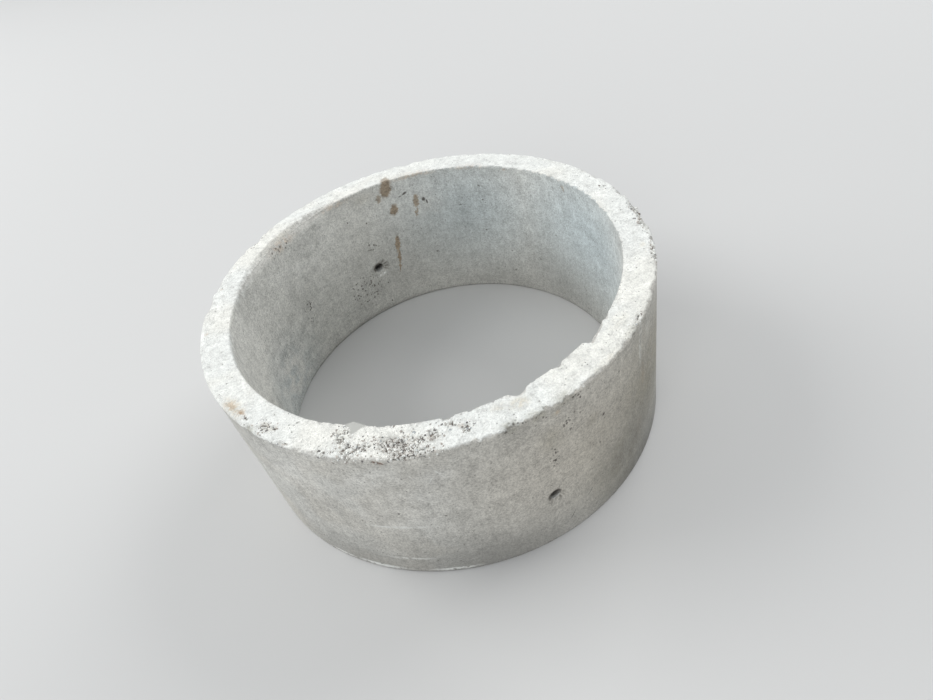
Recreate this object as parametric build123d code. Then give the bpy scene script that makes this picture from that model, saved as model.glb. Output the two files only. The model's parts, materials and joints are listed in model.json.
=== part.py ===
from build123d import *
import os
from math import cos, radians, sin
from typing import NamedTuple

# A precast concrete well ring: one cast piece, standing on its lower bed face.
# Millimetres, +Z up, origin at the centre of the lower bed face. The two lifting holes lie on the Y axis.

# The wall
outer_diameter = 1040.0
wall_thickness = 70.0
height = 420.0

# How far the arrises of the rim are worn round, and how far those of the lower bed are worn off
rim_arris = 5.0
bed_arris = 4.0

# The lifting holes, left by a bar across the mould, and the dish that broke out around each mouth
lifting_hole_diameter = 28.0
lifting_hole_height = 157.0
mouth_span = 54.0
mouth_depth = 5.0
mouth_drop = 4.0

# How far outside the middle of the wall the crumbled stretch of rim lies
crumbled_offset = 12.0

outer_radius = outer_diameter / 2
inner_radius = outer_radius - wall_thickness
mean_radius = (outer_radius + inner_radius) / 2


class Hollow(NamedTuple):
    """One place where concrete is missing: its angle from +X in degrees, its span and its depth."""

    angle: float
    span: float
    depth: float


# Chips out of the rim's outer arris
outer_chips = [
    Hollow(70.0, 52.0, 9.0),
    Hollow(124.5, 70.0, 9.0),
    Hollow(153.0, 96.0, 8.0),
    Hollow(-156.0, 46.0, 7.0),
    Hollow(-118.0, 76.0, 8.0),
    Hollow(-89.0, 56.0, 7.0),
    Hollow(-59.0, 40.0, 6.5),
    Hollow(-20.0, 84.0, 9.0),
    Hollow(-12.0, 36.0, 8.0),
]

# Chips out of the rim's inner arris. The first is the long stretch that is worn down to a slope
inner_chips = [
    Hollow(123.0, 241.0, 15.0),
    Hollow(-91.0, 44.0, 11.0),
    Hollow(-68.0, 28.0, 11.5),
    Hollow(-65.5, 60.0, 8.5),
]

# Hollows in the rim's face where its fine surface has crumbled away
crumbled_hollows = [
    Hollow(-134.0, 84.0, 2.5),
    Hollow(-120.0, 104.0, 4.0),
    Hollow(-111.0, 70.0, 2.5),
]


def outward(angle):
    """The level direction that points away from the ring's axis at this angle."""
    return Vector(cos(radians(angle)), sin(radians(angle)), 0)


def scoop(place, away, span, depth):
    """A ball that bites into the concrete at a place, to leave a hollow of this span and depth.

    away is the direction that points out of the concrete there.
    """
    radius = ((span / 2) ** 2 + depth**2) / (2 * depth)
    return Pos(place + away.normalized() * (radius - depth)) * Sphere(radius)


def wall():
    """The wall, turned from its section, with the corners of its rim rounded and those of its bed cut off."""
    section = Plane.XZ * Pos(mean_radius, height / 2) * Rectangle(wall_thickness, height)
    section = fillet(section.vertices().group_by(Axis.Z)[-1], rim_arris)
    section = chamfer(section.vertices().group_by(Axis.Z)[0], bed_arris)
    return revolve(section, Axis.Z)


def lifting_holes():
    """The bar's hole through both walls, and the dish around each of its four mouths."""
    bar_height = Vector(0, 0, lifting_hole_height)
    bar = Pos(bar_height) * Rot(90, 0, 0) * Cylinder(lifting_hole_diameter / 2, 2 * outer_diameter)
    dish_height = bar_height - Vector(0, 0, mouth_drop)
    dishes = []
    for side in (outward(-90), outward(90)):
        dishes.append(scoop(dish_height + side * outer_radius, side, mouth_span, mouth_depth))
        dishes.append(scoop(dish_height + side * inner_radius, -side, mouth_span, mouth_depth))
    return [bar] + dishes


def rim_wear():
    """What is missing from the rim: the chips along both arrises, and the crumbled stretch."""
    up = Vector(0, 0, 1)
    rim = up * height
    worn = []
    for chip in outer_chips:
        side = outward(chip.angle)
        worn.append(scoop(rim + side * outer_radius, up + side, chip.span, chip.depth))
    for chip in inner_chips:
        side = outward(chip.angle)
        worn.append(scoop(rim + side * inner_radius, up - side, chip.span, chip.depth))
    for hollow in crumbled_hollows:
        middle = outward(hollow.angle) * (mean_radius + crumbled_offset)
        worn.append(scoop(rim + middle, up, hollow.span, hollow.depth))
    return worn


well_ring = wall() - lifting_holes() - rim_wear()

os.makedirs("parts", exist_ok=True)
export_step(well_ring, "parts/well_ring.step")
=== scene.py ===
import json
import math
from typing import NamedTuple

import bmesh
import bpy
import numpy as np
from mathutils import Euler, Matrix, Quaternion, Vector, noise
from mathutils.bvhtree import BVHTree


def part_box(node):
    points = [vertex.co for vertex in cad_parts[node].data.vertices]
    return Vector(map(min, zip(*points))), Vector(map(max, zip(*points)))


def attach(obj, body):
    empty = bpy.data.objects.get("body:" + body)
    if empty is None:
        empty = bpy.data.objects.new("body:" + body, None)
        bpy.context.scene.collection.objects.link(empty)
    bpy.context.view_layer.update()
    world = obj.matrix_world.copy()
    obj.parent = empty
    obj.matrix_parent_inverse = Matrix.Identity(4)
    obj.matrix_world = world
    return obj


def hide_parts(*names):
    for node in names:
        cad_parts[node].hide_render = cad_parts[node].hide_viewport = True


# A weathered precast concrete well ring. Metres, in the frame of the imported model: +Z up, the origin at the
# centre of the lower bed, the lifting holes on the Y axis. Angles round the ring are in degrees from +X.

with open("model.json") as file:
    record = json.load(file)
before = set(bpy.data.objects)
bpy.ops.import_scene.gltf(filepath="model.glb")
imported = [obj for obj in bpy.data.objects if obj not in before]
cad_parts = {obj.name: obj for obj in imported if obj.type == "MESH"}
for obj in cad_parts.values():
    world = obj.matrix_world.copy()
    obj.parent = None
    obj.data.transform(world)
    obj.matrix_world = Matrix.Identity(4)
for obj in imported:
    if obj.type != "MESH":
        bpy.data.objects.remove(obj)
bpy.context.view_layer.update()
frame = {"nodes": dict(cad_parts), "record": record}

# The ring's own sizes, read from the frame
mounts = {mount["name"]: mount for mount in frame["record"]["mounts"]}
outer_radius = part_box("well_ring")[1].x
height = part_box("well_ring")[1].z
inner_radius = mounts["well_bore"]["dims"]["r_mm"] / 1000
hole_radius = mounts["lifting_holes"]["dims"]["r_mm"] / 1000
hole_height = mounts["lifting_holes"]["pos_m"][2]
middle_radius = (inner_radius + outer_radius) / 2

# The camera: where it stands round the ring, what it looks at, and how far it is rolled
camera_azimuth = -14.65
camera_distance = 1.2384
camera_height = 1.3139
camera_aim = Vector((-0.0354, -0.2981, 0.4213))
camera_roll = -15.26
camera_lens = 25.58

# The mesh: its steps round the ring, how far inside the section its corner fans turn, how far apart its rows
# lie, how high the fine band below the rim is, and how many rows turn each corner
rim_steps = 1024
wall_steps = rim_steps // 2
top_inset = 0.014
foot_inset = 0.008
wall_row = 0.0105
rim_row = 0.0019
bed_row = 0.018
fine_band = 0.021
top_fan = 11
foot_fan = 4

# How often the solid's sharp edges are worn round
softening = 5

# Where the steps round the ring are closer together: over the crumbled stretch
dense_angle = -122
dense_spread = 26
dense_gain = 1.3
sample_angle = 0.05

# How far outside the section the rays start
ray_reach = 0.06

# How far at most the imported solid's facets lie inside its true curves
chord_sag = 0.00035


class Blot(NamedTuple):
    """A soft patch of the rim, with its distance from the axis and its half sizes."""

    angle: float
    radius: float
    half_length: float
    half_width: float
    strength: float = 1


# Where the rim has crumbled down to its stones
crumbled = [
    Blot(-117.5, 0.513, 0.038, 0.02),
    Blot(-120.5, 0.49, 0.034, 0.021, 0.95),
    Blot(-115.5, 0.486, 0.02, 0.014, 0.8),
    Blot(-130.2, 0.504, 0.024, 0.02, 0.8),
    Blot(-133, 0.474, 0.014, 0.024, 0.75),
    Blot(-127, 0.493, 0.024, 0.014, 0.62),
    Blot(-112, 0.477, 0.014, 0.016, 0.7),
    Blot(-107.6, 0.466, 0.01, 0.01, 0.75),
    Blot(-105, 0.484, 0.01, 0.013, 0.75),
    Blot(-136, 0.513, 0.014, 0.007, 0.7),
    Blot(-145.5, 0.515, 0.014, 0.005, 0.8),
    Blot(-152.5, 0.499, 0.016, 0.01, 0.75),
    Blot(-149.9, 0.491, 0.008, 0.007, 0.9),
    Blot(-158.3, 0.504, 0.007, 0.004, 0.6),
    Blot(-33, 0.513, 0.026, 0.008, 0.9),
    Blot(-22, 0.51, 0.022, 0.008, 0.85),
    Blot(-15, 0.512, 0.018, 0.01, 0.75),
    Blot(-14, 0.484, 0.008, 0.004, 0.6),
    Blot(-1.1, 0.495, 0.008, 0.004, 0.7),
    Blot(-57.5, 0.51, 0.016, 0.007, 0.75),
    Blot(124.5, 0.512, 0.02, 0.008, 0.6),
]


class Notch(NamedTuple):
    """A piece gone from an arris: where it is widest, how wide, and the degrees it runs each way."""

    angle: float
    width: float
    before: float
    after: float


inner_notches = [
    Notch(-91.6, 0.012, 1.7, 4.6),
    Notch(-68.8, 0.0165, 0.9, 8),
    Notch(-122, 0.004, 0.5, 2.4),
    Notch(-109.6, 0.005, 0.4, 3),
    Notch(-103.6, 0.003, 0.4, 3),
    Notch(-79.4, 0.0025, 0.8, 3),
    Notch(-140, 0.003, 2, 0.6),
    Notch(-60, 0.003, 1.5, 2.5),
    Notch(-97.5, 0.0022, 1, 1.6),
]
outer_notches = [
    Notch(-22, 0.007, 1, 4),
    Notch(-13.5, 0.008, 0.8, 3),
    Notch(-36, 0.005, 1.5, 1),
    Notch(-29, 0.006, 1.2, 2),
    Notch(-6, 0.0065, 2.5, 1.2),
    Notch(4, 0.0045, 1.5, 3),
    Notch(-48, 0.0045, 2, 2.5),
    Notch(-88, 0.004, 3, 1),
    Notch(-96, 0.0035, 2, 1),
    Notch(-155.8, 0.0055, 1.8, 1.8),
]

# The lip of mortar over the well: the angles where it starts, reaches furthest and ends, its reach and depth
lip_start = -134.3
lip_tip = -131.6
lip_end = -125.8
lip_reach = 0.0125
lip_depth = 0.016

# Where the pale rim gives way to the grey slope at the back: its distance from the axis by angle
slope_edge = {92: 0.46, 100: 0.472, 110: 0.476, 120: 0.479, 130: 0.47, 140: 0.463, 150: 0.457, 160: 0.453}

# How far the rim beside the lip stands in over the well, and the middle of the ring's front
overhang = 0.0038
front_angle = -85

# The smooth face on the lip, a kite: its middle, its distance from the axis and its half sizes
lip_face_angle = -130.8
lip_face_radius = 0.4525
lip_face_length = 0.0235
lip_face_width = 0.0155


class Stain(NamedTuple):
    """A stained patch, with its half sizes across, along and upward."""

    angle: float
    radius: float
    up: float
    across: float
    along: float
    upward: float
    lean: float
    strength: float


# How deep a stain reaches into the ring
stain_depth = 0.03


def on_wall(radius, angle, up, along, upward, strength=1, lean=0):
    """A stain on a wall of this radius. The rows below give all other lengths in millimetres."""
    return Stain(angle, radius, up / 1000, stain_depth, along / 1000, upward / 1000, lean, strength)


def on_outer(*places):
    """Stains on the outer wall, from their angles, heights, half sizes along and up, strengths and leans."""
    return [on_wall(outer_radius, *place) for place in places]


def on_inner(*places):
    return [on_wall(inner_radius, *place) for place in places]


def on_top(angle, radius, along, across, strength=1):
    return Stain(angle, radius / 1000, height, across / 1000, along / 1000, stain_depth, 0, strength)


def on_rim(*places):
    """Stains on the rim, from their angles, radii, half sizes along and across, and strengths."""
    return [on_top(*place) for place in places]


mud = on_inner(
    (78.7, 399, 21, 37, 1, 20),
    (78, 326, 15, 24, 1, 20),
    (82.2, 373, 11, 15, 0.75, 30),
    (69.5, 336, 11, 25, 0.9, 14),
    (70.2, 300, 5, 20, 0.8, 14),
    (80.5, 215, 10.5, 38, 1, 12),
    (81.3, 172, 6.5, 32, 1, 12),
    (82.2, 134, 3.6, 22, 1, 12),
    (11, 395, 6, 12, 0.6),
) + on_rim(
    (78, 462, 13, 13, 0.75),
)
red_marks = on_outer(
    (-124.3, 408, 9, 4.2, 1, -50),
    (-123.4, 405, 10, 3.4, 0.9, -30),
)
dark_marks = on_inner(
    (66.6, 336, 7, 9),
    (65.6, 327, 3, 10),
    (72.8, 368, 11, 4, 1, -25),
    (74.6, 362, 7, 3, 0.7, -10),
    (88.8, 96, 3, 3.6),
    (89.7, 27, 3.6, 3.6),
    (95.8, 344, 3, 4),
    (89.2, 317, 3, 4),
    (66.7, 151, 6, 4, 0.8),
    (53.7, 300, 6, 3, 0.7),
    (45, 313, 3, 3.5),
    (45.5, 359, 6, 2.5, 0.8, 20),
    (37, 139, 5, 3, 0.7, 20),
    (46, 210, 3, 3.5, 0.8),
    (37, 67, 3, 4, 0.8),
    (121.8, 194, 3, 5),
) + on_outer(
    (-124.5, 238, 3, 4),
    (-75, 298, 5, 4, 1, 30),
    (-81, 397, 3, 4),
    (-69, 370, 3, 4),
    (-88.9, 270, 3, 4),
    (-88.6, 291, 3, 5),
    (-81, 93, 1.5, 16, 0.7, -40),
    (-86.5, 57, 1.5, 18, 0.8, -35),
)
rust = on_rim(
    (-164.5, 506, 38, 20, 0.55),
    (-160.8, 505, 22, 17),
    (-150, 491, 7, 8, 0.9),
    (165, 505, 10, 7, 0.8),
    (146.5, 503, 6, 7, 0.6),
    (137, 508, 5, 5, 0.5),
    (-106.2, 476, 12, 8, 0.6),
    (-112.5, 484, 20, 14, 0.3),
    (-34, 498, 6, 3, 0.4),
) + on_outer(
    (-87.4, 398, 16, 8, 0.6),
    (-123.8, 405, 16, 9, 0.5, -20),
    (-57.8, 262, 12, 80, 0.75),
    (-61, 120, 26, 50, 0.4),
) + on_inner(
    (35, 412, 14, 5, 0.6),
    (68, 415, 90, 10, 0.55),
    (48, 416, 80, 8, 0.45),
    (98, 410, 80, 14, 0.4),
    (122, 402, 70, 22, 0.5),
)
ochre = on_rim(
    (-92.6, 476, 30, 22, 0.75),
    (-164, 504, 52, 24, 0.8),
    (-152, 497, 26, 16, 0.5),
    (-97, 466, 26, 14, 0.35),
    (-60, 480, 50, 30, 0.2),
    (-72, 512, 60, 10, 0.35),
    (122, 468, 120, 12, 0.25),
    (-31, 494, 16, 12, 0.4),
) + on_outer(
    (-87.2, 397, 16, 10, 0.6),
)
# Pale bloom: partly efflorescence, partly painted light that brightens the walls where they face the light,
# with thin painted sheen on the outer wall's right side
bloom_and_painted_light = on_outer(
    (-141, 418, 160, 30),
    (-128, 360, 110, 60, 0.8, 10),
    (-114, 350, 50, 40, 0.7, 10),
    (-148, 330, 120, 110, 0.6, 10),
    (-122, 210, 180, 90, 0.35),
    (-120, 270, 110, 80, 0.45),
    (-58.5, 385, 9, 100, 0.9),
    (-54.5, 375, 14, 90, 0.8),
) + on_inner(
    (89, 134, 18, 10),
    (93.5, 172, 10, 12, 0.9),
    (143, 90, 220, 200),
    (116, 320, 190, 120, 0.8),
    (67, 325, 90, 70, 0.5),
)
# Pale streaks: chalky runs and bloom, and on the outer wall's right side a vertical stripe of painted sheen
chalk_and_sheen_streaks = on_outer(
    (-126, 187, 100, 6, 0.75),
    (-127, 60, 85, 6, 0.6),
    (-59.4, 350, 5, 70, 0.5),
    (-136, 11, 90, 10),
    (-147, 10, 50, 5),
    (-117, 11, 80, 7, 0.9),
    (-113.1, 361, 2.2, 12, 0.8, 35),
    (-114.8, 341, 2.2, 12, 0.8, -30),
    (-118.5, 355, 2.2, 13, 0.7, 25),
    (-127, 352, 2.4, 20, 0.8, 20),
) + on_inner(
    (90.9, 131, 9, 5),
    (88.6, 134, 7, 5),
    (92.9, 171, 5, 9),
)
# Darker towards the feet of the walls and low in the well: partly damp, partly painted shade, with a thin
# dark band along the outer foot
damp_and_painted_shade = on_outer(
    (-60, 0, 330, 150, 0.75),
    (-64, 90, 240, 190, 0.5),
    (-108, 0, 380, 200, 0.66),
    (-140, 0, 300, 160, 0.5),
    (-130, 0, 400, 12, 0.6),
) + on_inner(
    (90, 0, 500, 30, 0.5),
    (50, 10, 12, 4, 0.7),
    (45, 0, 400, 220, 0.32),
    (14, 60, 300, 320, 0.36),
    (74, 160, 420, 300, 0.32),
)
# Grime, and painted shade that darkens and browns the outer wall's right side
grime_and_painted_shade = on_outer(
    (-89, 335, 45, 55, 0.5, 20),
    (-78, 310, 30, 30, 0.5, 20),
    (-62, 215, 50, 130, 0.6),
    (-52, 230, 280, 260, 0.85),
    (-38, 200, 110, 300, 0.8),
    (-69, 100, 200, 200, 0.75),
    (-58, 320, 180, 200, 0.5),
    (-75, 220, 140, 140, 0.35),
) + on_inner(
    (88, 392, 60, 26, 0.35),
)
warm = on_outer((-80, 260, 480, 420))
# A cool silvery tint on the well's walls: partly a silvery wash, partly painted cool light
silvery_and_painted_light = on_inner(
    (0, 280, 420, 340),
    (50, 280, 360, 300, 0.8),
    (146, 60, 200, 200, 0.8),
)

# Where a dirty line follows the worn outer arris
seams = [
    Stain(-97, 0.513, 0.415, 0.016, 0.03, 0.016, 0, 0.85),
    Stain(-91, 0.512, 0.413, 0.016, 0.036, 0.016, 0, 0.85),
    Stain(-84.5, 0.512, 0.413, 0.016, 0.036, 0.016, 0, 0.8),
    Stain(-76, 0.514, 0.413, 0.012, 0.034, 0.012, 0, 0.4),
    Stain(-62, 0.512, 0.415, 0.012, 0.04, 0.012, 0, 0.5),
    Stain(-20, 0.513, 0.415, 0.012, 0.11, 0.014, 0, 0.5),
    Stain(-155.5, 0.515, 0.415, 0.012, 0.026, 0.012, 0, 0.7),
    Stain(-106, 0.515, 0.413, 0.01, 0.03, 0.01, 0, 0.3),
]

# Where small holes in the skin are crowded
pocked = on_outer(
    (-96, 412, 36, 16),
    (-89, 410, 40, 16),
    (-83, 410, 34, 14, 0.9),
    (-88.9, 275, 14, 60, 0.9),
    (-84, 350, 60, 50, 0.5),
    (-122, 404, 70, 10, 0.8),
) + on_inner(
    (89.5, 240, 40, 34, 0.6),
    (98, 110, 80, 80, 0.9),
    (68, 330, 30, 30, 0.35),
    (123, 175, 30, 60, 0.9),
    (123, 400, 50, 22, 0.9),
)
soft_stains = {"pocked": pocked, "silvery_and_painted_light": silvery_and_painted_light, "warm": warm, "rust": rust, "ochre": ochre}
soft_stains |= {"bloom_and_painted_light": bloom_and_painted_light, "damp_and_painted_shade": damp_and_painted_shade, "grime_and_painted_shade": grime_and_painted_shade, "seams": seams}


def at(angle):
    """The level unit vector at this angle round the ring."""
    return Vector((math.cos(math.radians(angle)), math.sin(math.radians(angle)), 0))


def spot(angle, across, up):
    """The place at this angle, this far from the ring's axis and this high."""
    return at(angle) * across + Vector((0, 0, up))


def turned(angles, middle):
    """How many degrees each angle lies past the middle one, from -180 to 180."""
    return (angles - middle + 180) % 360 - 180


def smooth(low, high, value):
    """0 below low, 1 above high, and an even curve between them."""
    share = np.clip((value - low) / (high - low), 0, 1)
    return share * share * (3 - 2 * share)


# The mesh follows the solid: each point is where a ray towards the solid first meets it.


class Row(NamedTuple):
    """A line of points round the ring: where its rays aim, and their turn in degrees from outwards to up."""

    across: float
    up: float
    turn: float
    steps: int


def fan(across, up, first, last, count, steps):
    """Rows that turn round a corner of the section."""
    return [Row(across, up, turn, steps) for turn in np.linspace(first, last, count)]


def even(start, end, spacing):
    """Evenly spaced values between start and end."""
    count = max(round(abs(end - start) / spacing), 1)
    return np.linspace(start, end, count + 1)[1:-1]


def wall_heights():
    """The heights of the rows on both walls, up to the fine band."""
    top = height - top_inset - fine_band
    return np.linspace(foot_inset, top, round((top - foot_inset) / wall_row) + 1)


def section_rows():
    """The rows round the section: up the outside, over the rim, down the well and back under the bed."""
    heights = wall_heights()
    band = even(heights[-1], height - top_inset, rim_row * 2)
    outer = outer_radius - top_inset
    inner = inner_radius + top_inset
    top = height - top_inset
    rows = [Row(outer, up, 0, wall_steps) for up in heights]
    rows += [Row(outer, up, 0, rim_steps) for up in band]
    rows += fan(outer, top, 0, 90, top_fan, rim_steps)
    rows += [Row(across, top, 90, rim_steps) for across in even(outer, inner, rim_row)]
    rows += fan(inner, top, 90, 180, top_fan, rim_steps)
    rows += [Row(inner, up, 180, rim_steps) for up in band[::-1]]
    rows += [Row(inner, up, 180, wall_steps) for up in heights[::-1]]
    inner = inner_radius + foot_inset
    outer = outer_radius - foot_inset
    rows += fan(inner, foot_inset, 180, 270, foot_fan, wall_steps)[1:]
    rows += [Row(across, foot_inset, 270, wall_steps) for across in even(inner, outer, bed_row)]
    rows += fan(outer, foot_inset, 270, 360, foot_fan, wall_steps)[:-1]
    return rows


def step_angles():
    """The angles of the rim's steps, from -180 on."""
    fine = np.linspace(-180, 180, round(360 / sample_angle) + 1)
    density = 1 + dense_gain * np.exp(-((turned(fine, dense_angle) / dense_spread) ** 2))
    travelled = np.concatenate([[0], np.cumsum((density[1:] + density[:-1]) / 2)])
    share = np.arange(rim_steps) / rim_steps
    return np.interp(share * travelled[-1], travelled, fine)


def softened(worn):
    """The wear on neighbouring rows of points, with its sharp edges worn round."""
    along = (np.roll(worn, 1, axis=1) + 2 * worn + np.roll(worn, -1, axis=1)) / 4
    return np.vstack([along[:1], (along[:-2] + 2 * along[1:-1] + along[2:]) / 4, along[-1:]])


def rays_at(mesh):
    """What casts rays at this mesh."""
    return BVHTree.FromPolygons([v.co for v in mesh.vertices], [tuple(p.vertices) for p in mesh.polygons])


class Surface:
    """The points and faces of the ring, as they are found."""

    def __init__(self, solid):
        self.tree = rays_at(solid.data)
        self.points = []
        self.outs = []
        self.worn = []
        self.faces = []

    def hit(self, place, out):
        """Where a ray towards place meets the solid, or place itself over a hole."""
        found = self.tree.ray_cast(place + out * ray_reach, -out, 2 * ray_reach)[0]
        return place if found is None else found

    def add(self, point, out, worn=0):
        self.points.append(point)
        self.outs.append(out)
        self.worn.append(worn)
        return len(self.points) - 1

    def measure(self, row, angles):
        """Where a row's rays aim and come from, how far out its unworn points lie, and the wear."""
        turn = math.radians(row.turn)
        outs = [spot(angle, math.cos(turn), math.sin(turn)) for angle in angles]
        places = [spot(angle, row.across, row.up) for angle in angles]
        reach = np.array([(self.hit(place, out) - place).dot(out) for place, out in zip(places, outs)])
        unworn = np.percentile(reach, 90)
        under = np.clip(unworn - reach, 0, None)
        return places, outs, unworn, under - np.minimum(under, chord_sag)

    def rows(self, section, angles):
        """Adds every row of points. Gives the rows' point numbers."""
        found = [self.measure(row, angles[:: rim_steps // row.steps]) for row in section]
        top = [n for n, row in enumerate(section) if row.steps == rim_steps]
        wear = np.array([found[n][3] for n in top])
        for _ in range(softening):
            wear = softened(wear)
        wear = dict(zip(top, wear))
        numbers = []
        for n, (places, outs, unworn, worn) in enumerate(found):
            worn = wear.get(n, worn)
            points = [place + out * (unworn - w) for place, out, w in zip(places, outs, worn)]
            numbers.append([self.add(point, out, w) for point, out, w in zip(points, outs, worn)])
        return numbers

    def join(self, low, high, skipped=()):
        """Faces between two rows of points, of which one may have twice as many."""
        count = min(len(low), len(high))
        for k in range(count):
            after = (k + 1) % count
            if k in skipped:
                continue
            if len(low) == len(high):
                self.faces.append((low[k], low[after], high[after], high[k]))
            elif len(high) > count:
                first, middle, last = (high[(2 * k + step) % len(high)] for step in range(3))
                self.faces.append((low[k], low[after], last, middle))
                self.faces.append((low[k], middle, first))
            else:
                first, middle, last = (low[(2 * k + step) % len(low)] for step in range(3))
                self.faces.append((middle, last, high[after], high[k]))
                self.faces.append((first, middle, high[k]))


# The lifting holes: a block of the wall's grid is left open, and rings of points close in on the hole in it,
# closer together towards its edge. The last one stands a little way out from the edge.
hole_block = 0.052
mouth_rings = 10
mouth_closeness = 1.3
mouth_clearance = 0.0002
bore_rows = 12


def block_edge(rows, low, high, first, last):
    """The points round the edge of a block of the grid, in order."""
    edge = [rows[low][k] for k in range(first, last)]
    edge += [rows[r][last] for r in range(low, high)]
    edge += [rows[high][k] for k in range(last, first, -1)]
    edge += [rows[r][first] for r in range(high, low, -1)]
    return edge


def add_mouth(surface, edge, turns, side, away):
    """Closes the wall in on the hole's mouth. away is 1 on the outer wall and -1 in the well."""
    out = side * away
    wall_radius = outer_radius if away > 0 else inner_radius
    before = edge
    for ring in range(1, mouth_rings + 1):
        share = 1 - (1 - ring / mouth_rings) ** mouth_closeness
        found = []
        for number, turn in zip(edge, turns):
            start = surface.points[number]
            rim = Vector((hole_radius * math.cos(turn), 0, hole_height + hole_radius * math.sin(turn)))
            place = Vector((start.x, 0, start.z)).lerp(rim, share)
            if ring == mouth_rings:
                place += Vector((math.cos(turn), 0, math.sin(turn))) * mouth_clearance
            found.append(surface.add(surface.hit(place + side * wall_radius, out), out))
        surface.join(*((before, found) if away > 0 else (found, before)))
        before = found
    return before


def add_bore(surface, outer, inner, turns):
    """The hole's own wall, from one mouth to the other."""
    before = outer
    for row in range(1, bore_rows):
        found = []
        for first, last, turn in zip(outer, inner, turns):
            point = surface.points[first].lerp(surface.points[last], row / bore_rows)
            found.append(surface.add(point, Vector((-math.cos(turn), 0, -math.sin(turn)))))
        surface.join(before, found)
        before = found
    surface.join(before, inner)


def build_surface(solid):
    """The whole surface of the ring, still as smooth as the solid."""
    surface = Surface(solid)
    rim_angles = step_angles()
    wall_angles = rim_angles[::2]
    section = section_rows()
    grid = surface.rows(section, rim_angles)

    heights = wall_heights()
    low = int(np.argmin(abs(heights - (hole_height - hole_block))))
    high = int(np.argmin(abs(heights - (hole_height + hole_block))))
    outer_rows = grid[: len(heights)]
    first_inner = next(n for n, row in enumerate(section) if row.turn == 180 and row.steps == wall_steps)
    inner_rows = grid[first_inner : first_inner + len(heights)][::-1]
    blocks = []
    for angle in (-90, 90):
        half = math.degrees(hole_block / outer_radius)
        inside = np.flatnonzero(abs(turned(wall_angles, angle)) < half)
        blocks.append((int(inside.min()), int(inside.max()), at(angle)))
    open_steps = {k for first, last, _ in blocks for k in range(first, last)}

    for n, lower in enumerate(grid):
        on_outer_wall = low <= n < high
        mirrored = len(heights) - 1 - (n - first_inner)
        on_inner_wall = low < mirrored <= high and n >= first_inner
        skipped = open_steps if on_outer_wall or on_inner_wall else ()
        surface.join(lower, grid[(n + 1) % len(grid)], skipped)

    for first, last, side in blocks:
        outer_edge = block_edge(outer_rows, low, high, first, last)
        inner_edge = block_edge(inner_rows, low, high, first, last)
        found = [surface.points[number] for number in outer_edge]
        turns = [math.atan2(point.z - hole_height, point.x) for point in found]
        outer = add_mouth(surface, outer_edge, turns, side, 1)
        inner = add_mouth(surface, inner_edge, turns, side, -1)
        add_bore(surface, outer, inner, turns)
    return surface


def lie(points):
    """The points' angles, distances from the axis and depths below the upper bed."""
    angles = np.degrees(np.arctan2(points[:, 1], points[:, 0]))
    return angles, np.hypot(points[:, 0], points[:, 1]), height - points[:, 2]


def lumps(points, size, seed):
    """Smooth noise from 0 to 1 at each point, in lumps of about this size."""
    shift = Vector((17.3, 5.1, 9.7)) * seed
    return np.array([0.5 + 0.5 * noise.noise(Vector(p) / size + shift) for p in points])


def stones(points, size, seed):
    """0 at the middle of each stone of about this size, and 1 in the gaps between them."""
    shift = Vector((3.9, 11.2, 7.6)) * seed
    found = []
    for p in points:
        near, next_near = noise.voronoi(Vector(p) / size + shift)[0][:2]
        found.append(near / max(next_near, 1e-6))
    return np.array(found)


def blotted(patches, angles, radii):
    """How strongly the blots cover each point of the rim."""
    covered = np.zeros(len(angles))
    for patch in patches:
        along = np.radians(turned(angles, patch.angle)) * patch.radius / patch.half_length
        across = (radii - patch.radius) / patch.half_width
        covered = np.maximum(covered, patch.strength * np.exp(-(along**2 + across**2)))
    return covered


def cover(patches, points):
    """How strongly the soft stains, which bend with the wall, cover each point."""
    angles, radii, _ = lie(points)
    covered = np.zeros(len(points))
    for patch in patches:
        lean = math.radians(patch.lean)
        level = np.radians(turned(angles, patch.angle)) * patch.radius
        upright = points[:, 2] - patch.up
        along = level * math.cos(lean) + upright * math.sin(lean)
        upward = upright * math.cos(lean) - level * math.sin(lean)
        reach = np.hypot(along / patch.along, upward / patch.upward)
        reach = np.hypot(reach, (radii - patch.radius) / patch.across)
        covered = np.maximum(covered, patch.strength * (1 - smooth(0, 1, reach)))
    return covered


def notched(notches, angles):
    """How wide the widest notch is at each angle."""
    width = np.zeros(len(angles))
    for notch in notches:
        away = turned(angles, notch.angle)
        share = np.where(away < 0, 1 + away / notch.before, 1 - away / notch.after)
        width = np.maximum(width, notch.width * np.clip(share, 0, 1))
    return width


# The arrises' flakes, the stretches that have them, and their crumbs
flake_size = 0.02
flake_stretch = 0.1
crumb_size = 0.006

# How far the well's arris stands past the solid's rounder one, at most
crisp_most = 0.0024

# The crumbled rim: its larger and smaller stones, how deep it is worn, and how deep its gaps go
larger_stones = 0.0095
smaller_stones = 0.006
crumbled_depth = 0.0012
gap_depth = 0.0034

# The ribs of torn mortar by the holes' mouths, and the direction of a mouth's shaded side in radians
rib_count = 13
rib_depth = 0.0024
shade_turn = 2.4

# How far into each bore the painted shade reaches, at the back and in front
back_dark_by = 0.034
front_dark_by = 0.018

# Where the well's arris has been rubbed pale
rubbed_angle = 174


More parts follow.
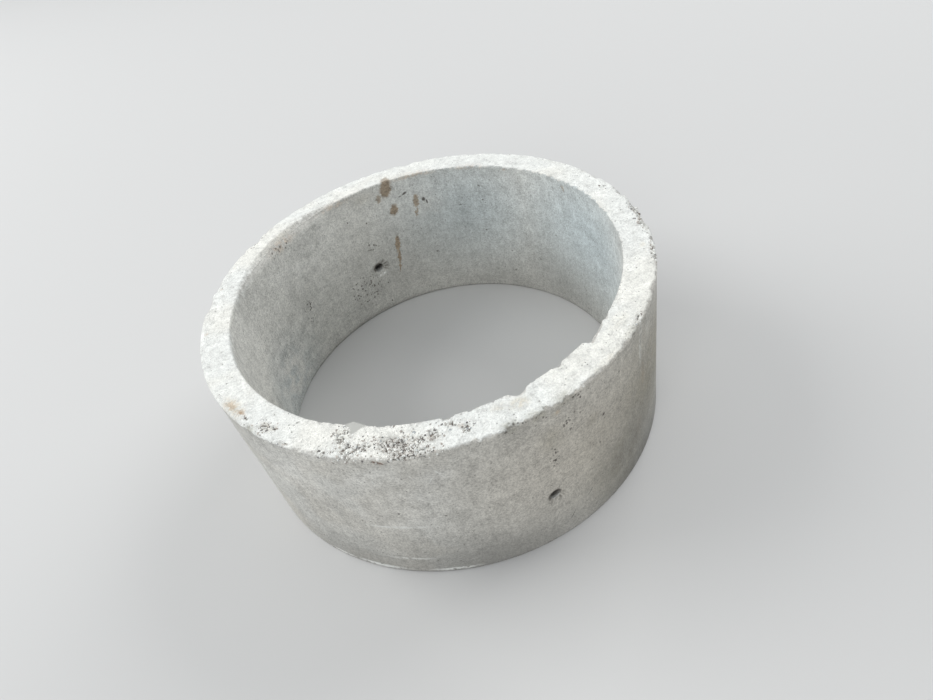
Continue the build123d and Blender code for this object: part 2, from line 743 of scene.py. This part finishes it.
def mouths(points, facing):
    """The holes' torn ribs, right of them in the well and below them outside, their painted shade, and the
    painted shade deep in their bores.
    """
    reach = np.hypot(points[:, 0], points[:, 2] - hole_height) - hole_radius
    turn = np.arctan2(points[:, 2] - hole_height, points[:, 0])
    outside = facing > 0.5
    torn = (facing < -0.5) * smooth(0.3, 0.8, np.cos(turn - 0.25)) * smooth(0, 0.004, reach)
    torn += 0.8 * outside * smooth(0, 0.8, np.cos(turn + 1.15)) * smooth(-0.001, 0.001, reach)
    torn *= 1 - smooth(np.where(outside, 0.006, 0.01), np.where(outside, 0.018, 0.022), reach)
    wander = np.where(outside, 9, 4) * lumps(points, 0.016, 18)
    ribs = torn * (0.5 + 0.5 * np.sin(rib_count * turn + wander))
    ribs *= smooth(0.2, 0.45, lumps(points, 0.01, 19))
    # Painted shade on the upper-left side of each mouth
    shaded = smooth(0, 0.6, np.cos(turn - shade_turn)) * (1 - smooth(0.0025, 0.008, reach))
    shaded *= abs(facing) > 0.5
    dark_by = np.where(points[:, 1] > 0, back_dark_by, front_dark_by)
    across = abs(points[:, 1])
    past_mouth = np.minimum(outer_radius - across, across - inner_radius)
    return ribs, shaded, smooth(0.004, dark_by, past_mouth) * (reach < 0.0015)


def washed_and_lit(points, facing, upward):
    """Where the rim is pale, partly washed by rain and partly painted light on the faces that look up: in
    front up to its outer arris, elsewhere down over that too.
    """
    angles, radii, below = lie(points)
    front = 1 - smooth(45, 75, abs(turned(angles, front_angle)))
    pale_from = np.where(facing < 0, 0.55, 0.2 + 0.4 * front)
    ragged = 0.5 * (lumps(points, 0.014, 15) - 0.5) + 0.4 * (lumps(points, 0.005, 16) - 0.5)
    ragged *= (upward < 0.97) * (1 - smooth(0.008, 0.022, below))
    pale = np.clip((upward + ragged - pale_from) / 0.25, 0, 1)
    rubbed = (radii < middle_radius) * (1 - smooth(30, 56, abs(turned(angles, rubbed_angle))))
    past_arris = below - np.clip(radii - inner_radius, 0, None) + 0.012 * (lumps(points, 0.01, 17) - 0.5)
    return pale + rubbed * (1 - smooth(-0.018, 0.04, past_arris) - pale)


def relief(points, outs, worn):
    """Where each point moves to, and the measures that the material reads."""
    angles, radii, below = lie(points)
    sides = np.stack([np.cos(np.radians(angles)), np.sin(np.radians(angles)), np.zeros(len(angles))], axis=1)
    facing = (outs * sides).sum(axis=1)
    upward = outs[:, 2]
    on_top = smooth(0.5, 0.9, upward)
    on_wall = 1 - np.clip(abs(upward), 0, 1)

    depth = on_wall * (0.0001 + 0.0009 * lumps(points, 0.16, 1) + 0.0005 * lumps(points, 0.03, 2))
    depth += on_top * (0.0008 * lumps(points, 0.09, 3) + 0.0007 * lumps(points, 0.016, 4))

    # The face of the lip stays smooth: it was struck off while the mortar was wet
    kite = 1 - abs(np.radians(turned(angles, lip_face_angle))) * lip_face_radius / lip_face_length
    kite -= abs(radii - lip_face_radius) / lip_face_width
    bare = smooth(0, 0.12, kite) * smooth(-0.2, 0.4, upward)
    depth *= 1 - bare

    # The arrises: each is cut back to a ragged facet, wider where flakes and notches are gone
    flakes = smooth(0.5, 0.62, lumps(points, flake_size, 5)) * lumps(points, flake_stretch, 6)
    crumbs = lumps(points, crumb_size, 7)
    sizes = {
        inner_radius: 0.0002 + 0.0036 * flakes + 0.0018 * crumbs + notched(inner_notches, angles),
        outer_radius: 0.0012 + 0.006 * flakes + 0.003 * crumbs + notched(outer_notches, angles),
    }
    chip = np.zeros(len(points))
    for wall_radius, width in sizes.items():
        room = abs(radii - wall_radius) + below
        chip = np.maximum(chip, np.clip(width - room, 0, None) / (abs(facing) + abs(upward)))
    chip *= 1 - bare
    depth += chip

    # The well's arris is sharper than the solid's, except where it is worn
    to_corner = abs(radii - inner_radius) / np.maximum(-facing, 0.1)
    to_corner = np.minimum(to_corner, below / np.maximum(upward, 0.1))
    crisp = (facing < -0.1) * (upward > 0.1) * (1 - smooth(0.0003, 0.0015, worn)) * (chip == 0)
    depth -= 0.7 * crisp * np.clip(to_corner, 0, crisp_most)

    on_slope = smooth(86, 104, angles) * (1 - smooth(145, 162, angles)) * (radii < inner_radius + 0.05)
    edge = np.interp(angles, list(slope_edge), list(slope_edge.values()))
    edge += 0.014 * (lumps(points, 0.022, 14) - 0.5)
    tilted = np.maximum(on_top, smooth(0.0002, 0.001, worn))
    slope = on_slope * tilted * (1 - smooth(edge - 0.028, edge + 0.02, radii))
    broken = np.maximum(smooth(0.001, 0.004, worn) * (1 - on_slope), smooth(0.0004, 0.0018, chip))
    depth += broken * (0.001 * lumps(points, 0.007, 8) + 0.0008 * lumps(points, 0.016, 9))
    depth += on_slope * smooth(0.0004, 0.002, worn) * (0.0012 * lumps(points, 0.012, 12) + 0.0008 * crumbs)

    loose = blotted(crumbled, angles, radii) * (1 - smooth(0.01, 0.026, below))
    loose = smooth(0.3, 0.55, loose * (0.55 + 0.9 * lumps(points, 0.014, 10)))
    finer = stones(points, smaller_stones, 13) * smooth(0.45, 0.6, lumps(points, 0.018, 20))
    gaps = np.maximum(stones(points, larger_stones, 11), 0.92 * finer)
    depth += loose * (crumbled_depth + gap_depth * smooth(0.45, 1, gaps))

    # The lip leans in over the well, thickest at the rim, and so does a little of the rim beside it
    rise = np.interp(angles, [lip_start, lip_tip, lip_end], [0, 1, 0])
    beside = smooth(-145, -135, angles) * (1 - smooth(-75, -60, angles)) * (chip < 0.0005)
    leaning = np.maximum(overhang * beside, lip_reach * rise) * np.clip(-1.8 * facing, 0, 1)
    leaning *= 1 - smooth(0.003, lip_depth, below)

    ribs, shaded, painted_bore_shade = mouths(points, facing)
    depth += rib_depth * ribs
    moved = points - outs * depth[:, None] - sides * leaning[:, None]

    measures = {
        # The pale rim: partly washed by rain, partly painted light on the faces that look up
        "pale": washed_and_lit(points, facing, upward) * (1 - slope),
        "inside": radii < middle_radius,
        "slope": slope,
        "broken": broken * (1 - bare),
        "loose": loose,
        "gaps": gaps * loose,
        "bare": bare,
        # Painted shade by the mouths and in the grooves of the torn ribs
        "shaded": np.maximum(shaded, 0.9 * ribs),
        "painted_bore_shade": painted_bore_shade,
    }
    for name, patches in soft_stains.items():
        measures[name] = cover(patches, points)
    return moved, measures


def add_object(name, data):
    """A new object in the scene."""
    made = bpy.data.objects.new(name, data)
    bpy.context.scene.collection.objects.link(made)
    return made


def add_mesh(name, points, faces, measures, material):
    """A smooth-shaded mesh object, with the measures that its material reads."""
    mesh = bpy.data.meshes.new(name)
    mesh.from_pydata([tuple(point) for point in points], [], faces)
    mesh.polygons.foreach_set("use_smooth", [True] * len(mesh.polygons))
    for measure, values in measures.items():
        attribute = mesh.attributes.new(measure, "FLOAT", "POINT")
        attribute.data.foreach_set("value", np.asarray(values, dtype=np.float32))
    mesh.materials.append(material)
    mesh.update()
    return add_object(name, mesh)


def add_ring(material):
    """The ring's own mesh."""
    surface = build_surface(frame["nodes"]["well_ring"])
    used = sorted({number for face in surface.faces for number in face})
    points = np.array([tuple(surface.points[number]) for number in used])
    outs = np.array([tuple(surface.outs[number]) for number in used])
    moved, measures = relief(points, outs, np.array(surface.worn)[used])
    renumbered = {number: n for n, number in enumerate(used)}
    faces = [[renumbered[number] for number in face] for face in surface.faces]
    return add_mesh("concrete_ring", moved, faces, measures, material)


# The bare stones: how many are tried, the smallest and largest radius, how much commoner the small ones are,
# how far they spread over a blot and how close together they sit
stone_tries = 2600
stone_smallest = 0.0012
stone_largest = 0.0042
stone_bias = 2.2
stone_spread = 0.6
stone_closeness = 0.85

# A stone's stretch, its sunk share, how uneven it is, and how far it stays below the upper bed
stone_stretch = (0.75, 1.15)
stone_sunk = (0.05, 0.45)
stone_unevenness = 0.3
stone_lumps = 0.9
stone_clearance = 0.0003


def stone_shape():
    """The points and faces of a round stone with a radius of 1."""
    ball = bmesh.new()
    bmesh.ops.create_icosphere(ball, subdivisions=2, radius=1)
    points = [vert.co.copy() for vert in ball.verts]
    faces = [[vert.index for vert in face.verts] for face in ball.faces]
    ball.free()
    return points, faces


def stone_places(ring, draw):
    """Where the stones sit on the crumbled rim, which way is out, and their radii."""
    tree = rays_at(ring.data)
    area = np.array([blot.half_length * blot.half_width * blot.strength for blot in crumbled])
    placed = []
    for _ in range(stone_tries):
        blot = crumbled[draw.choice(len(crumbled), p=area / area.sum())]
        angle = blot.angle + math.degrees(draw.normal(0, stone_spread) * blot.half_length / blot.radius)
        across = blot.radius + draw.normal(0, stone_spread) * blot.half_width
        radius = stone_smallest + (stone_largest - stone_smallest) * draw.random() ** stone_bias
        past_arris = max(across - (outer_radius - top_inset), 0)
        turn = math.pi / 2 - past_arris / top_inset
        out = spot(angle, math.cos(turn), math.sin(turn))
        aim = spot(angle, across - past_arris, height - top_inset)
        point = tree.ray_cast(aim + out * ray_reach, -out)[0]
        if across < inner_radius or turn < 0 or point is None:
            continue
        if any((point - other).length < stone_closeness * (radius + size) for other, _, size in placed):
            continue
        placed.append((point, out, radius))
    return placed


def add_bare_stones(ring, material):
    """Stones of the concrete's own gravel, each more than half sunk in the crumbled rim."""
    draw = np.random.RandomState(7)
    shape, shape_faces = stone_shape()
    points = []
    faces = []
    tones = []
    for place, out, radius in stone_places(ring, draw):
        tilt = Euler(draw.uniform(0, 2 * math.pi, 3)).to_matrix()
        stretch = Vector(draw.uniform(*stone_stretch, 3))
        seed = Vector(draw.uniform(0, 50, 3))
        tone = draw.random()
        sunk = place - out * radius * draw.uniform(*stone_sunk)
        first = len(points)
        for corner in shape:
            uneven = 1 + stone_unevenness * noise.noise(corner * stone_lumps + seed)
            point = sunk + tilt @ (corner * stretch) * radius * uneven
            point.z = min(point.z, height - stone_clearance)
            points.append(point)
            tones.append(tone)
        faces += [[first + number for number in face] for face in shape_faces]
    return add_mesh("bare_stones", points, faces, {"tone": tones}, material)


class Paint:
    """A procedural material, whose nodes are added one by one."""

    def __init__(self, name):
        self.material = bpy.data.materials.new(name)
        self.material.use_nodes = True
        self.nodes = self.material.node_tree.nodes
        self.links = self.material.node_tree.links
        self.place = self.nodes.new("ShaderNodeTexCoord").outputs["Object"]
        self.patterns = {}

    def feed(self, socket, value):
        """Links another node's output to this input, or sets its value."""
        if isinstance(value, bpy.types.NodeSocket):
            self.links.new(value, socket)
        elif socket.type == "RGBA":
            socket.default_value = (*value, 1)
        else:
            socket.default_value = value

    def node(self, kind, inputs, **settings):
        """Adds a node. Each input is a value or another node's output."""
        node = self.nodes.new("ShaderNode" + kind)
        for name, value in settings.items():
            setattr(node, name, value)
        for key, value in inputs.items():
            self.feed(node.inputs[key], value)
        return node

    def finished(self, inputs):
        """Feeds the shader's inputs, and gives the material."""
        for name, value in inputs.items():
            self.feed(self.nodes["Principled BSDF"].inputs[name], value)
        return self.material

    def math(self, operation, *values, kind="Math"):
        return self.node(kind, dict(enumerate(values)), operation=operation).outputs[0]

    def times(self, first, second):
        return self.math("MULTIPLY", first, second)

    def most(self, first, second):
        return self.math("MAXIMUM", first, second)

    def added(self, value, strength, total):
        return self.math("MULTIPLY_ADD", value, strength, total)

    def vector(self, operation, *values):
        return self.math(operation, *values, kind="VectorMath")

    def span(self, value, low, high, first=0, last=1):
        """An even curve from first, where value is at low, to last, where it is at high."""
        inputs = {"Value": value, "From Min": low, "From Max": high, "To Min": first, "To Max": last}
        return self.node("MapRange", inputs, interpolation_type="SMOOTHSTEP").outputs["Result"]

    def blend(self, share, first, second):
        """The first colour where share is 0, the second where it is 1."""
        inputs = {0: share, 6: first, 7: second}
        return self.node("Mix", inputs, data_type="RGBA").outputs[2]

    def lit(self, colour, brightness):
        return self.node("VectorMath", {0: colour, "Scale": brightness}, operation="SCALE").outputs[0]

    def bump(self, bumps, distance, strength):
        """The way the surface faces, with these bumps in it."""
        inputs = {"Height": bumps, "Distance": distance, "Strength": strength}
        return self.node("Bump", inputs).outputs["Normal"]

    def measure(self, name):
        return self.node("Attribute", {}, attribute_name=name).outputs["Fac"]

    def noise(self, size, detail=2, stretch=None):
        """Noise in lumps of about this size, drawn out by three factors."""
        place = self.place
        if stretch:
            place = self.vector("MULTIPLY", place, [1 / factor for factor in stretch])
        return self.node("TexNoise", {"Vector": place, "Scale": 1 / size, "Detail": detail}).outputs[0]

    def brightness(self, **strengths):
        """A brightness around 1, from the named patterns at these strengths."""
        total = 1
        for name, strength in strengths.items():
            total = self.added(self.math("SUBTRACT", self.patterns[name], 0.5), strength, total)
        return total

    def pits(self, spacing, share, largest):
        """1 in round pits, of which a share of the cells of this spacing has one."""
        cells = self.node("TexVoronoi", {"Vector": self.place, "Scale": 1 / spacing})
        chance = self.node("SeparateColor", {0: cells.outputs["Color"]}).outputs[0]
        radius = self.span(chance, 1 - share, 1, 0, largest / spacing)
        inside = self.math("SUBTRACT", radius, cells.outputs["Distance"])
        return self.span(inside, 0, 0.4 * largest / spacing)

    def stains(self, patches, core, raggedness):
        """1 in the solid core of each stain, and 0 past its ragged edge."""
        wobble = self.node("TexNoise", {"Vector": self.place, "Scale": 110, "Detail": 3}).outputs["Color"]
        shift = self.vector("SUBTRACT", wobble, [0.5] * 3)
        place = self.vector("MULTIPLY_ADD", shift, [raggedness] * 3, self.place)
        covered = 0
        for patch in patches:
            inputs = {
                "Vector": place,
                "Location": spot(patch.angle, patch.radius, patch.up),
                "Rotation": (math.radians(patch.lean), 0, math.radians(patch.angle)),
                "Scale": (patch.across, patch.along, patch.upward),
            }
            inside = self.node("Mapping", inputs, vector_type="TEXTURE").outputs[0]
            away = self.node("VectorMath", {0: inside}, operation="LENGTH").outputs["Value"]
            covered = self.most(covered, self.span(away, core, 1, patch.strength, 0))
        return covered


wall_colour = (0.612, 0.608, 0.572)
warm_colour = (0.603, 0.568, 0.5)
well_colour = (0.65, 0.645, 0.605)
pale_colour = (0.88, 0.893, 0.855)
cream_colour = (0.885, 0.88, 0.82)
dull_colour = (0.62, 0.62, 0.585)
slope_colour = (0.58, 0.57, 0.53)
broken_colour = (0.6, 0.58, 0.54)
bare_colour = (0.485, 0.487, 0.455)
silvery_painted_light_colour = (0.555, 0.62, 0.635)
# Dark between the crumbled stones: dirt and painted shade
gap_dirt_and_shade_colour = (0.14, 0.12, 0.105)
# The colour of pits, also used for painted shade by the holes' mouths
pit_and_shade_colour = (0.15, 0.14, 0.12)
bore_shade_colour = (0.1, 0.09, 0.08)
mud_colour = (0.335, 0.275, 0.205)
red_colour = (0.25, 0.18, 0.145)
mark_colour = (0.09, 0.08, 0.07)

# The soft stains: colour, light and the pattern that breaks each up. Below the pattern's first value only a
# share of the stain is left, the last value, and above the second all of it.
# The bloom's look: partly efflorescence, partly painted light
bloom_and_light_look = ((0.75, 0.745, 0.705), "wall", "mottle", 0.35, 0.6, 0.4)
looks = {
    "ochre": ((0.68, 0.62, 0.49), "rim", "blotch", 0.35, 0.6, 0.3),
    "rust": ((0.46, 0.33, 0.22), "wall", "blotch", 0.4, 0.58, 0.1),
    # Grime, partly painted shade on the outer wall's right side
    "grime_and_painted_shade": ((0.36, 0.335, 0.27), "wall", "mottle", 0.3, 0.62, 0.6),
    # Damp, partly painted shade towards the feet of the walls
    "damp_and_painted_shade": ((0.19, 0.185, 0.17), None, "mottle", 0.25, 0.6, 0.7),
    "seams": ((0.29, 0.28, 0.21), "wall", "blotch", 0.38, 0.56, 0.3),
}


class Concrete(Paint):
    """Weathered cast concrete: grey walls with a fine skin, and a pale rim, partly washed by rain and partly
    painted light on its upward faces.
    """

    def __init__(self):
        super().__init__("weathered_concrete")
        self.pale = self.measure("pale")
        self.broken = self.measure("broken")
        self.unstruck = self.math("SUBTRACT", 1, self.measure("bare"))
        self.patterns = {
            "clouds": self.noise(0.2, 3),
            "mottle": self.noise(0.035, 3),
            "blotch": self.noise(0.012),
            "grain": self.span(self.noise(0.0045, 3), 0.3, 0.7),
            "sand": self.span(self.noise(0.0024), 0.3, 0.7),
            "lifts": self.noise(0.022, 2, (9, 9, 1)),
            "runs": self.noise(0.008, 3, (1, 1, 16)),
        }
        self.lights = {
            "wall": self.brightness(
                clouds=0.4, mottle=0.5, blotch=0.44, grain=0.3, sand=0.25, lifts=0.2, runs=0.26
            ),
            "rim": self.brightness(clouds=0.14, mottle=0.42, blotch=0.4, grain=0.16, sand=0.14),
        }

    def patchy(self, pattern, *limits):
        return self.span(self.patterns[pattern], *limits)

    def over(self, colour, share, second, light=None):
        """The colour with a second one over it, in its own light if it has one."""
        if light:
            second = self.lit(second, self.lights[light])
        return self.blend(share, colour, second)

    def stained(self, colour, name, second, light, *pattern):
        """The colour with one kind of soft stain over it."""
        return self.over(colour, self.times(self.measure(name), self.patchy(*pattern)), second, light)

    def walls(self):
        """The walls: warmer and cooler by patches, lighter in the well as painted light, and bleached in
        places, partly as painted light.
        """
        warmth = self.span(self.noise(0.13), 0.38, 0.62, 0, 0.35)
        colour = self.blend(self.most(warmth, self.measure("warm")), wall_colour, warm_colour)
        # Painted light: the walls in the well are painted lighter, to make up for the shade there
        colour = self.over(colour, self.measure("inside"), well_colour)
        # A cool tint on the well's walls, partly painted light
        colour = self.over(colour, self.measure("silvery_and_painted_light"), silvery_painted_light_colour)
        # Pale bloom over the walls, partly painted light
        return self.stained(self.lit(colour, self.lights["wall"]), "bloom_and_painted_light", *bloom_and_light_look)

    def rim(self, colour):
        """The colour with the rim over it: pale, partly from rain and partly painted light on the upward
        faces, with cream, dull and broken patches.
        """
        pale = self.added(self.math("SUBTRACT", self.patterns["blotch"], 0.5), 0.9, self.pale)
        rim_colour = self.blend(self.patchy("clouds", 0.42, 0.62), pale_colour, cream_colour)
        rim_colour = self.over(rim_colour, self.span(self.noise(0.02, 4), 0.52, 0.7, 0, 0.5), dull_colour)
        colour = self.over(colour, self.measure("slope"), slope_colour, "wall")
        # The pale rim over the walls, partly painted light on the upward faces
        colour = self.over(colour, self.span(pale, 0.15, 0.85), rim_colour, "rim")
        return self.over(colour, self.times(self.broken, 0.6), broken_colour, "rim")

    def dirty(self, colour):
        """The colour with soft stains, the arris's dirty line and the crumbled gaps over it, the gaps dark
        with dirt and painted shade.
        """
        for name, look in looks.items():
            colour = self.stained(colour, name, *look)
        off_line = self.math("ABSOLUTE", self.math("SUBTRACT", self.pale, 0.4))
        left = self.times(self.measure("seams"), self.patchy("blotch", 0.4, 0.52, 0.6))
        colour = self.over(colour, self.times(self.span(off_line, 0.15, 0.4, 0.9, 0), left), pit_and_shade_colour)
        colour = self.over(colour, self.measure("bare"), bare_colour)
        # The gaps between the stones: dark partly with dirt, partly with painted shade
        deep = self.times(self.span(self.measure("gaps"), 0.68, 0.95), self.measure("loose"))
        return self.over(colour, deep, gap_dirt_and_shade_colour)

    def pitted(self):
        """Where there are holes in the skin."""
        skin = self.most(self.pits(0.0085, 0.5, 0.0019), self.pits(0.024, 0.35, 0.003))
        rim = self.times(self.pits(0.0095, 0.5, 0.0025), self.patchy("mottle", 0.45, 0.65))
        crowded = self.span(self.measure("pocked"), 0.05, 0.45)
        pocks = self.times(self.pits(0.0066, 0.85, 0.0038), crowded)
        holes = self.times(self.most(skin, self.times(rim, self.pale)), 0.75)
        return self.times(self.most(holes, pocks), self.unstruck)

    def marked(self, colour, pitted):
        """The colour with the holes over it, the painted shade in the bores and by their mouths, and what has
        run or been rubbed on.
        """
        colour = self.over(colour, self.times(pitted, 0.82), pit_and_shade_colour)
        # Painted shade deep in the bores
        colour = self.over(colour, self.measure("painted_bore_shade"), bore_shade_colour)
        # Painted shade by the mouths and in the torn ribs
        colour = self.over(colour, self.measure("shaded"), pit_and_shade_colour)
        muddy = self.lit(mud_colour, self.brightness(blotch=1.2, grain=0.4))
        colour = self.over(colour, self.stains(mud, 0.55, 0.018), muddy)
        # Pale streaks: partly chalk, partly painted sheen
        chalk_and_sheen = self.times(self.stains(chalk_and_sheen_streaks, 0.2, 0.008), self.patchy("blotch", 0.28, 0.55))
        colour = self.over(colour, chalk_and_sheen, pale_colour)
        colour = self.over(colour, self.stains(red_marks, 0.45, 0.005), red_colour)
        return self.over(colour, self.times(self.stains(dark_marks, 0.4, 0.005), 0.9), mark_colour)

    def bumps(self, pitted):
        """The skin's height: rougher on the rim than on the walls, and lower in the holes."""
        coarse = self.added(self.patterns["sand"], 0.6, self.patterns["grain"])
        coarse = self.added(self.patterns["blotch"], 1.5, coarse)
        rougher = self.span(self.most(self.pale, self.broken), 0, 1, 0.4, 1.25)
        return self.times(self.added(pitted, -1.2, self.times(coarse, rougher)), self.unstruck)


def concrete():
    """The ring's material."""
    paint = Concrete()
    pitted = paint.pitted()
    inputs = {
        "Base Color": paint.marked(paint.dirty(paint.rim(paint.walls())), pitted),
        "Roughness": paint.patchy("mottle", 0.3, 0.7, 0.8, 0.95),
        "Specular IOR Level": 0.3,
        "Normal": paint.bump(paint.bumps(pitted), 0.0012, 0.8),
    }
    return paint.finished(inputs)


# The gravel's colours, each with the tone at which it starts
stone_colours = {
    0: (0.12, 0.11, 0.105),
    0.18: (0.22, 0.19, 0.165),
    0.34: (0.36, 0.33, 0.3),
    0.48: (0.42, 0.38, 0.34),
    0.62: (0.54, 0.5, 0.45),
    0.74: (0.36, 0.38, 0.39),
    0.82: (0.78, 0.77, 0.73),
}


def gravel():
    """Mixed river gravel, each stone of one tone, with cement dust on it."""
    paint = Paint("bare_gravel")
    ramp = paint.node("ValToRGB", {0: paint.measure("tone")})
    ramp.color_ramp.interpolation = "CONSTANT"
    stops = ramp.color_ramp.elements
    stops.remove(stops[-1])
    for tone, colour in stone_colours.items():
        stop = stops.new(tone) if tone else stops[0]
        stop.color = (*colour, 1)
    paint.patterns["grain"] = paint.noise(0.0016, 3)
    dust = paint.noise(0.006)
    stone = paint.lit(ramp.outputs[0], paint.brightness(grain=0.5))
    dusty = paint.lit(pale_colour, paint.brightness(grain=0.3))
    inputs = {
        "Base Color": paint.blend(paint.span(dust, 0.42, 0.62), stone, dusty),
        "Roughness": paint.span(dust, 0.3, 0.6, 0.65, 0.9),
        "Normal": paint.bump(paint.patterns["grain"], 0.0005, 0.6),
    }
    return paint.finished(inputs)


# The floor's size, its colour as the camera sees it, and as it throws light back
floor_half = 12
floor_shown = (0.62, 0.62, 0.61)
floor_thrown = (0.3, 0.3, 0.29)

# The light: the world's colour and strength, and each lamp's azimuth, elevation and watts
world_colour = (0.93, 0.96, 1)
world_strength = 0.51
lamp_distance = 12
lamp_size = 8
lamps = {
    "front_left": (-130, 35, 432),
    "back_left": (140, 35, 792),
    "right": (20, 35, 648),
}


def aim_at(item, stand, aim, roll=0):
    """Stands a camera or lamp at one place, looking at another and rolled in degrees."""
    item.location = stand
    item.rotation_mode = "QUATERNION"
    level = (aim - stand).to_track_quat("-Z", "Y")
    item.rotation_quaternion = level @ Quaternion((0, 0, 1), math.radians(roll))


def add_camera():
    """The camera at the photograph's place, rolled as it is there."""
    camera = add_object("camera", bpy.data.cameras.new("camera"))
    camera.data.lens = camera_lens
    aim_at(camera, spot(camera_azimuth - 90, camera_distance, camera_height), camera_aim, camera_roll)
    bpy.context.scene.camera = camera


def add_light(name, azimuth, elevation, power):
    """A large soft lamp that looks at the middle of the ring."""
    lamp = add_object(name, bpy.data.lights.new(name, "AREA"))
    lamp.data.size = lamp_size
    lamp.data.energy = power
    lamp.visible_camera = False
    rise = math.radians(elevation)
    stand = spot(azimuth, math.cos(rise), math.sin(rise)) * lamp_distance
    aim_at(lamp, stand, Vector((0, 0, height / 2)))


def add_floor():
    """A plain pale floor, which throws less light back than it shows the camera."""
    mesh = bpy.data.meshes.new("floor")
    corners = [(x * floor_half, y * floor_half, 0) for x, y in ((-1, -1), (1, -1), (1, 1), (-1, 1))]
    mesh.from_pydata(corners, [], [(0, 1, 2, 3)])
    paint = Paint("floor")
    rays = paint.node("LightPath", {}).outputs
    seen = paint.most(rays["Is Camera Ray"], rays["Is Glossy Ray"])
    seen = paint.most(seen, rays["Is Transmission Ray"])
    inputs = {"Base Color": paint.blend(seen, floor_thrown, floor_shown), "Roughness": 0.9}
    mesh.materials.append(paint.finished(inputs))
    floor = add_object("floor", mesh)


def add_stage():
    """The floor, the soft studio light and the plain view settings."""
    add_floor()
    world = bpy.data.worlds.new("world")
    world.use_nodes = True
    sky = world.node_tree.nodes["Background"].inputs
    sky["Color"].default_value = (*world_colour, 1)
    sky["Strength"].default_value = world_strength
    bpy.context.scene.world = world
    for name, (azimuth, elevation, power) in lamps.items():
        add_light(name, azimuth, elevation, power)
    bpy.context.scene.view_settings.view_transform = "Standard"


add_camera()
add_stage()
concrete_ring = add_ring(concrete())
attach(concrete_ring, "root")
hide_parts("well_ring")
bare_stones = add_bare_stones(concrete_ring, gravel())
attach(bare_stones, "root")
